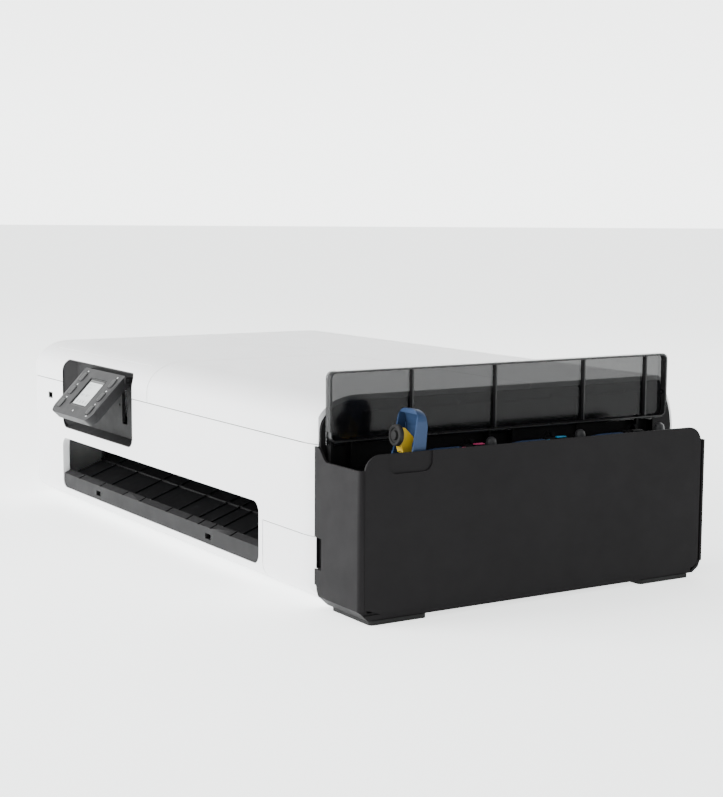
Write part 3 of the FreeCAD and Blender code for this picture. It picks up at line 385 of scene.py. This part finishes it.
def turned_shape(profile, lay, count=40):
    """A round solid from (radius, level) points; lay turns (u, v, level) into a place."""
    points, faces = [], []
    for radius, level in profile:
        points += [lay(radius * math.cos(2 * math.pi * i / count),
                       radius * math.sin(2 * math.pi * i / count), level) for i in range(count)]
    for ring in range(len(profile) - 1):
        a, b = ring * count, (ring + 1) * count
        faces += [(a + i, a + (i + 1) % count, b + (i + 1) % count, b + i) for i in range(count)]
    faces += [tuple(range(count))[::-1], tuple(range(len(points) - count, len(points)))]
    return points, faces


def upright(u, v, level):
    """Lay an outline on a plane that faces the front; level is the depth behind the front face."""
    return (u * MM, FRONT + level * MM, v * MM)


def sideways(u, v, level):
    """Lay a (depth, height) outline on a plane that faces right; level is along X."""
    return (level * MM, FRONT + u * MM, v * MM)


def flat(u, v, level):
    """Lay an (X, depth) outline on a level plane."""
    return (u * MM, FRONT + v * MM, level * MM)


def standing(x, depth):
    """Lay a round shape upright about a point on a level plane."""
    def lay(u, v, level):
        return ((x + u) * MM, FRONT + (depth + v) * MM, level * MM)
    return lay


def swung(pivot, degrees):
    """A turn about an axis along X through a (depth, height) point, in millimetres."""
    place = Vector((0.0, FRONT + pivot[0] * MM, pivot[1] * MM))
    turn = Matrix.Rotation(math.radians(degrees), 4, "X")
    return Matrix.Translation(place) @ turn @ Matrix.Translation(-place)


def millimetres(node):
    """A CAD node's (low, high) in X, depth behind the front face and height, in millimetres."""
    low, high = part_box(node)
    return ((low.x / MM, high.x / MM), ((low.y - FRONT) / MM, (high.y - FRONT) / MM),
            (low.z / MM, high.z / MM))


def joint_of(name):
    """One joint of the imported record."""
    return next(j for j in frame["joints"] if j["name"] == name)


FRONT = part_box("front_panel")[0].y


# ---- CAD nodes ----
COLOURS = ("yellow", "magenta", "cyan", "black")
SOFT_EDGE = {"panel_back": 0.8, "panel_housing": 0.8, "output_lip": 0.6, "ink_housing": 0.5,
             "tank_deck": 0.3, "ink_cover": 0.5, "exit_guides": 0.3}
SOFT_EDGE.update({"button_" + key: 0.5 for key in ("home", "up", "down", "stop", "ok", "menu")})
SOFT_EDGE.update({"ink_lever_" + colour: 0.8 for colour in COLOURS})


def dress_nodes():
    """Gives each CAD node its paint by its slot, and a small radius on the named ones' edges."""
    for name, node in NODES.items():
        slot = node.data.materials[0].name.split(".")[0]
        node.material_slots[0].link = "OBJECT"
        node.material_slots[0].material = PAINTS[slot]
        if name in SOFT_EDGE:
            weld = node.modifiers.new("weld", "WELD")
            weld.merge_threshold = 1e-6
            soften(node, SOFT_EDGE[name] * MM)


# ---- control panel ----
PANEL_PIVOT = (5.0, 207.0)
KEY_COLUMNS = (-262.5, -157.0)
KEY_HEIGHTS = (193.68, 169.08, 145.22)
KEY_SIZE = (13.0, 15.0)
KEY_ROUND = 4.5
WINDOW_X = (-234.4, -181.0)
WINDOW_Z = (148.7, 193.4)
PICTURE_X = (-228.6, -181.6)
PICTURE_Z = (149.6, 188.6)
GLASS_LAP = 1.8
BORDER_LAP = 0.6
INK_LEVELS = (5.4, 4.2, 4.8, 3.2)
GAUGE_START = -221.5
GAUGE_STEP = 10.6
KEY_GAP = (0.3, 1.0)
CAP_INSETS = (1.0, 2.0, 4.2)
CAP_LEVELS = (-0.95, -1.25, -1.0)


def panel_turn():
    """The control panel's rest tilt."""
    return swung(PANEL_PIVOT, -joint_of("control_panel_tilt")["range_deg"][1])


def panel_mark(name, shapes, paint="icon_white", low=-0.12, high=0.05):
    """Printed marks on the control panel's face, one piece."""
    made = joined(*[slab(outline, low, high, upright) for outline in shapes])
    return piece(name, made, paint, "control_panel", panel_turn())


def widened(across, up, lap, radius, steps=6):
    """A rounded outline a lap larger all round than a rectangle."""
    return rounded_outline((across[0] - lap, across[1] + lap), (up[0] - lap, up[1] + lap), radius, steps)


def bar(x, z, width, height):
    """A short rounded bar centred on a point."""
    radius = min(width, height) * 0.45
    return rounded_outline((x - width / 2, x + width / 2), (z - height / 2, z + height / 2), radius, 3)


def display():
    """Display module: black glass, a pale picture and its plain pictograms."""
    tilt = panel_turn()
    glass = slab(widened(WINDOW_X, WINDOW_Z, GLASS_LAP, 1.5), 0.9, 6.8, upright)
    module = piece("display_glass", glass, "display_glass", "control_panel", tilt, 0.2 * MM)
    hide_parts("lcd_screen")
    picture = slab(rounded_outline(PICTURE_X, PICTURE_Z, 0.6, 3), 0.78, 0.95, upright)
    piece("display_picture", picture, "display", "control_panel", tilt)
    marks = [bar(-220.5, 184.5, 10.0, 1.1), bar(-206.0, 184.5, 5.0, 1.1), bar(-216.0, 179.6, 18.0, 0.9),
             bar(-218.5, 176.6, 13.0, 0.9)]
    for x in (-222.0, -206.0):
        marks += [circle((x, 166.0), 2.2, 20), bar(x + 6.2, 167.0, 5.5, 0.9), bar(x + 5.2, 164.6, 3.5, 0.9)]
    gauges = [GAUGE_START + GAUGE_STEP * column for column in range(len(INK_LEVELS))]
    for x, level in zip(gauges, INK_LEVELS):
        marks += [bar(x, 152.4 + level / 2, 2.6, level)]
    shapes = [slab(outline, 0.66, 0.8, upright) for outline in marks]
    piece("display_marks", joined(*shapes), "display_ink", "control_panel", tilt)
    lines = [frame_slab(rounded_outline((x - 2.2, x + 2.2), (151.2, 159.4), 0.6, 2),
                        rounded_outline((x - 1.9, x + 1.9), (151.5, 159.1), 0.4, 2), 0.66, 0.8, upright)
             for x in gauges]
    piece("display_gauges", joined(*lines), "display_ink", "control_panel", tilt)
    border = frame_slab(widened(WINDOW_X, WINDOW_Z, BORDER_LAP, 1.2),
                        rounded_outline(WINDOW_X, WINDOW_Z, 0.8), -0.05, 1.1, upright)
    piece("display_border", border, "panel_plastic", "control_panel", tilt)


def key_details():
    """A dark ring of painted shade in the gap round each key, a dished cap on it and a small pictogram above
    it.
    """
    names = {(0, 0): "home", (0, 1): "up", (0, 2): "down", (1, 0): "stop", (1, 1): "ok", (1, 2): "menu"}
    tilt = panel_turn()
    rings = []
    for (column, row), name in names.items():
        x, z = KEY_COLUMNS[column], KEY_HEIGHTS[row]
        half_x, half_z = KEY_SIZE[0] / 2, KEY_SIZE[1] / 2
        across, up = (x - half_x, x + half_x), (z - half_z, z + half_z)
        inner, outer = (widened(across, up, gap, KEY_ROUND + gap) for gap in KEY_GAP)
        rings.append(frame_slab(outer, inner, -0.14, 1.2, upright))
        cap = [widened(across, up, -inset, KEY_ROUND - inset) for inset in CAP_INSETS]
        count = len(cap[0])
        points = [upright(u, v, -0.6) for u, v in cap[0]]
        points += [upright(u, v, level) for outline, level in zip(cap, CAP_LEVELS) for u, v in outline]
        faces = [(ring * count + i, ring * count + (i + 1) % count,
                  (ring + 1) * count + (i + 1) % count, (ring + 1) * count + i)
                 for ring in range(len(cap)) for i in range(count)]
        faces += [tuple(range(count))[::-1], tuple(range(len(cap) * count, (len(cap) + 1) * count))]
        piece("key_top_" + name, (points, faces), "key_plastic", "button_" + name, tilt,
              0.15 * MM)
    # Painted shade in the gap round each key.
    piece("key_gap_shade_rings", joined(*rings), "black_and_gap_shade", "control_panel", tilt)
    marks = []
    for column in range(2):
        for row in range(3):
            x, z = KEY_COLUMNS[column] + 1.0, KEY_HEIGHTS[row] + 10.6
            marks.append(circle((x, z), 1.25, 16) if (column + row) % 2 else bar(x, z, 3.2, 1.7))
    marks += [bar(KEY_COLUMNS[1] + 3.0, KEY_HEIGHTS[2] - 10.4, 3.6, 1.5), circle((-207.0, 137.6), 1.3, 16)]
    panel_mark("key_pictograms", marks)


# ---- levers ----
PORT_X = 458.0
CAP_RADIUS = 12.0


def lever_turn(colour):
    """A lever's hinge, and the turn that takes its parts from closed to their rest."""
    joint = joint_of("lever_" + colour + "_hinge")
    pivot = ((joint["pos_m"][1] - FRONT) / MM, joint["pos_m"][2] / MM)
    return pivot, swung(pivot, -joint["range_deg"][1])


def plug(colour):
    """Bracket under one lever, with cheeks and a cross rib, and the rubber stopper on its end."""
    (y, z), turn = lever_turn(colour)
    port, seat = y - 30.5, z - 8.5
    body = "lever_" + colour
    web = [(y - 8.5, z + 2.5), (y - 14.0, z + 8.0), (y - 22.0, z + 8.0), (port - 6.0, seat + 5.0),
           (port - 6.0, seat + 0.2), (port + 8.0, seat + 0.2), (y - 13.0, z - 5.0)]
    cheek = [(y - 8.5, z + 3.0), (y - 12.0, z + 11.0), (y - 17.5, z + 11.0), (y - 19.0, z + 6.5),
             (y - 23.0, z + 6.5), (y - 24.5, z + 10.5), (y - 28.5, z + 9.0), (port - 8.8, seat + 4.0),
             (port - 8.8, seat + 0.2),
             (port + 9.0, seat + 0.2), (y - 12.0, z - 4.5)]
    parts = [slab(web, PORT_X - 3.6, PORT_X + 3.6, sideways)]
    parts += [slab(cheek, PORT_X + side * 6.0 - 1.2, PORT_X + side * 6.0 + 1.2, sideways)
              for side in (-0.8, 0.8)]
    foot = rounded_outline((PORT_X - 5.8, PORT_X + 5.8), (port - 8.8, port + 8.8), 3.0)
    parts += [slab(foot, seat, seat + 2.0, flat)]
    bracket = piece("plug_bracket_" + colour, joined(*parts), "plug_" + colour, body,
                    turn, 0.5 * MM)
    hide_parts("ink_plug_" + colour)
    profile = [(3.0, seat), (7.0, seat), (CAP_RADIUS - 0.8, seat - 0.2), (CAP_RADIUS, seat - 1.0),
               (CAP_RADIUS, seat - 4.6), (CAP_RADIUS - 1.0, seat - 5.6), (CAP_RADIUS - 3.4, seat - 5.6),
               (CAP_RADIUS - 4.2, seat - 4.4), (5.6, seat - 4.4), (5.0, seat - 7.0), (1.0, seat - 7.1)]
    stopper = turned_shape(profile, standing(PORT_X, port))
    piece("plug_stopper_" + colour, stopper, "roller_rubber", body, turn)


def lever_details(colour):
    """Ribs inside one flap lever, and hinge straps at its root."""
    (y, z), turn = lever_turn(colour)
    body = "lever_" + colour
    ribs = [slab([(y - 44.0, z + 8.6), (y - 14.0, z + 12.8), (y - 14.0, z + 11.2), (y - 44.0, z + 7.2)],
                 x - 0.6, x + 0.6, sideways) for x in (446.0, 470.0)]
    straps = [slab([(y - 12.0, z + 6.0), (y - 2.0, z + 6.5), (y + 5.0, z + 3.0), (y + 5.6, z - 2.0),
                    (y - 2.0, z - 5.8), (y - 12.0, z - 5.0)], x - 1.5, x + 1.5, sideways)
              for x in (443.0, 473.0)]
    piece("lever_ribs_" + colour, joined(*ribs, *straps), "lever_blue", body, turn, 0.3 * MM)


CLOSED_COLOURS = COLOURS[1:]
LEVER_ACROSS = (438.0, 478.0)
LEVER_REACH = 60.0
LEVER_SKIN = 2.5


def lever_shell(colour):
    """Low hollow flap of one closed lever: roof, two cheeks, barrel and pin."""
    y, z = lever_turn(colour)[0]
    tip = y - LEVER_REACH
    roof = [(tip, z + 2.0), (tip, z + 6.0), (tip + 4.0, z + 8.5), (tip + 18.0, z + 10.0),
            (y - 14.0, z + 10.0), (y + 2.0, z + 5.0)]
    under = [(y - 1.0, z + 2.6), (y - 14.5, z + 7.5), (tip + 18.0, z + 7.5), (tip + 5.0, z + 6.2),
             (tip + LEVER_SKIN, z + 4.6), (tip + LEVER_SKIN, z + 2.0)]
    cheek = roof + [(y, z - 5.0), (y - 8.0, z - 2.0)]
    parts = [slab(roof + under, *LEVER_ACROSS, sideways)]
    for side in ((LEVER_ACROSS[0], LEVER_ACROSS[0] + LEVER_SKIN),
                 (LEVER_ACROSS[1] - LEVER_SKIN, LEVER_ACROSS[1])):
        parts.append(slab(cheek, *side, sideways))
    parts.append(slab(circle((y, z), 6.0), *LEVER_ACROSS, sideways))
    parts.append(slab(circle((y, z), 3.0, 20), LEVER_ACROSS[0] - 4.0, LEVER_ACROSS[1] + 2.8, sideways))
    shell = piece("lever_shell_" + colour, joined(*parts), "lever_blue", "lever_" + colour,
                  None, 0.5 * MM)
    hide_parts("ink_lever_" + colour)


# ---- ink bay ----
DECK_TOP = 155.0
SHELF_SPANS = ((176.0, 214.0), (296.0, 332.0), (416.0, 452.0))
SHELF_HEIGHT = 17.0
HOOK_PLACES = (188.0, 306.0, 436.0)
STUD_PLACES = (220.0, 352.0, 478.0)
STUD_X = 416.0
STUD_PROFILE = ((5.0, DECK_TOP), (5.0, 169.0), (6.4, 170.0), (6.6, 175.0), (5.4, 179.0), (2.6, 181.2),
                (0.6, 181.6))
BUMP_PLACES = (196.0, 330.0, 446.0)
RIB_PLACES = (117.0, 233.0, 365.0, 463.0)


def bay_details():
    """Shelves, hooks, studs and coloured marks along the ink bay's deck."""
    shelves = []
    top = DECK_TOP + SHELF_HEIGHT
    for start, end in SHELF_SPANS:
        shelf = [(404.0, start), (428.0, start), (432.0, start + 4.0), (432.0, end - 4.0), (428.0, end),
                 (404.0, end)]
        pad = rounded_outline((407.0, 425.0), (start + 4.0, end - 4.0), 3.0)
        shelves += [slab(shelf, DECK_TOP, top, flat), slab(pad, top, top + 2.5, flat)]
    piece("bay_shelves", joined(*shelves), "ink_block_plastic", "chassis", None,
          0.8 * MM)
    hooks = []
    for place in HOOK_PLACES:
        for side in (-7.0, 7.0):
            outline = [(place + side - 1.6, DECK_TOP), (place + side + 1.6, DECK_TOP),
                       (place + side + 1.6, 178.5), (place + side * 0.45 + 0.8, 181.5),
                       (place + side * 0.45 - 0.8, 179.5), (place + side - 1.6, 174.5)]
            hooks.append(slab(outline, 411.0, 415.0, sideways))
        plate = [(place - 8.0, DECK_TOP), (place + 8.0, DECK_TOP), (place + 6.0, 170.0), (place - 6.0, 170.0)]
        hooks.append(slab(plate, 409.0, 411.0, sideways))
    piece("bay_hooks", joined(*hooks), "black_and_gap_shade", "chassis", None, 0.4 * MM)
    studs = [turned_shape(STUD_PROFILE, standing(STUD_X, place), 28) for place in STUD_PLACES]
    piece("bay_studs", joined(*studs), "stud_grey", "chassis")
    for colour in COLOURS:
        start = lever_turn(colour)[0][0] + 14.5
        mark = slab(rounded_outline((427.6, 433.4), (start + 0.4, start + 13.6), 1.2), 176.4, 177.6, flat)
        piece("tank_mark_" + colour, mark, "plug_" + colour, "chassis", None, 0.3 * MM)


def wall_details():
    """Wall features of the ink bay: bumps on the ledge and shallow panel ribs below it."""
    face = millimetres("ink_inner_wall")[0][1] - 3.8
    bumps = [slab([(place - 7.0, 219.0), (place + 7.0, 219.0), (place + 5.0, 223.0), (place - 5.0, 223.0)],
                  face, face + 3.6, sideways) for place in BUMP_PLACES]
    ribs = [slab([(place - 1.0, DECK_TOP), (place + 1.0, DECK_TOP), (place + 1.0, 216.0),
                  (place - 1.0, 216.0)], face, face + 2.2, sideways) for place in RIB_PLACES]
    piece("wall_ribs", joined(*bumps, *ribs), "ink_block_plastic", "chassis", None,
          0.5 * MM)


# ---- clear lid ----
LID_WALL = 1.3
LID_ROUND = 7.0
LID_LOW = 188.0


def lid_rim():
    """Thick dark edge round the inside of the lid's tray, and its four ribs."""
    across, deep, up = millimetres("ink_cover")
    inner_x = (across[0] + 2.7, across[1] - 0.2)
    depth, height = (deep[0] + 1.3, deep[1] - 1.3), (LID_LOW, up[1] - 1.3)
    outer = rounded_outline(depth, height, LID_ROUND)
    inner = rounded_outline((depth[0] + LID_WALL, depth[1] - LID_WALL),
                            (height[0] + LID_WALL, height[1] - LID_WALL), LID_ROUND - LID_WALL)
    walls = frame_slab(outer, inner, *inner_x, sideways)
    ribs = [slab([(at - 0.2, height[0] + 2.0), (at + 1.7, height[0] + 2.0),
                  (at + 1.7, height[1] - 1.0), (at - 0.2, height[1] - 1.0)],
                 inner_x[0], inner_x[1] - 2.5, sideways) for at in RIB_PLACES]
    piece("lid_rim", joined(walls, *ribs), "smoke_rim", "ink_cover")


# ---- seams ----
SEAM_Z = 184.0
SEAM_HALF = 0.46
SEAM_SINK = (0.3, 2.4)
NOSE = (52.0, 198.0)
CASE_TOP = 237.0
COVER_EDGE_X = -59.0
COVER_REAR_Y = 297.0
DOOR_EDGE_X = 267.6
DOOR_SEAM_Z = 80.4
DOOR_SEAM_LOW = 38.0
DOOR_SIDE_HALF = 0.25
DOOR_TOP_HALF = 0.3
SIDE_END_X = -470.0
RIGHT_END_X = 384.0
FRONT_END_X = 360.0
FRONT_SPANS = ((SIDE_END_X, -368.0), (-107.0, FRONT_END_X))


def seam_box(across, up, levels, lay):
    """A straight strip: (low, high) both ways and in level."""
    corners = [(across[0], up[0]), (across[1], up[0]), (across[1], up[1]), (across[0], up[1])]
    return slab(corners, *levels, lay)


def seam_profile(sink):
    """(depth, height) points just under the casing, from the front seam to the rear one."""
    nose = [math.pi / 2 * step / 12 for step in range(13)]
    points = [(sink, SEAM_Z)]
    points += [(NOSE[0] - (NOSE[0] - sink) * math.cos(t),
                NOSE[1] + (CASE_TOP - NOSE[1] - sink) * math.sin(t)) for t in nose]
    return points + [(COVER_REAR_Y - 1.0, CASE_TOP - sink)]


def painted_seam_shade():
    """Painted shade: dark strips a little under the casing, in the gaps between its shells, where shade
    falls.
    """
    outline = seam_profile(SEAM_SINK[0]) + seam_profile(SEAM_SINK[1])[::-1]
    strips = [slab(outline, COVER_EDGE_X - SEAM_HALF, COVER_EDGE_X + SEAM_HALF, sideways)]
    strips += [seam_box(across, (SEAM_Z - SEAM_HALF, SEAM_Z + SEAM_HALF), SEAM_SINK, upright)
               for across in FRONT_SPANS]
    strips.append(seam_box((SIDE_END_X, RIGHT_END_X), (COVER_REAR_Y - SEAM_HALF, COVER_REAR_Y + SEAM_HALF),
                           (CASE_TOP - SEAM_SINK[1], CASE_TOP - SEAM_SINK[0]), flat))
    strips.append(seam_box((DOOR_EDGE_X - DOOR_SIDE_HALF, DOOR_EDGE_X + DOOR_SIDE_HALF),
                           (DOOR_SEAM_LOW, DOOR_SEAM_Z), SEAM_SINK, upright))
    strips.append(seam_box((DOOR_EDGE_X, FRONT_END_X),
                           (DOOR_SEAM_Z - DOOR_TOP_HALF, DOOR_SEAM_Z + DOOR_TOP_HALF), SEAM_SINK, upright))
    piece("painted_seam_shade", joined(*strips), "black_and_gap_shade", "chassis")


def painted_notch_shade():
    """Painted shade: a dark lining in the finger notch beside the door, where shade falls."""
    outer = rounded_outline((388.7, 402.8), (46.3, 81.7), 1.0, 3)
    inner = rounded_outline((389.6, 401.9), (47.2, 80.8), 0.8, 3)
    walls = frame_slab(outer, inner, 2.2, 7.6, upright)
    back = slab(outer, 7.2, 7.7, upright)
    piece("painted_notch_shade", joined(walls, back), "black_and_gap_shade", "chassis")


# ---- everything ----
def build_details():
    """Every added piece."""
    painted_seam_shade()
    painted_notch_shade()
    lid_rim()
    display()
    key_details()
    for colour in COLOURS:
        plug(colour)
    for colour in CLOSED_COLOURS:
        lever_shell(colour)
    lever_details(COLOURS[0])
    bay_details()
    wall_details()


dress_nodes()
build_details()
add_camera()
add_studio()
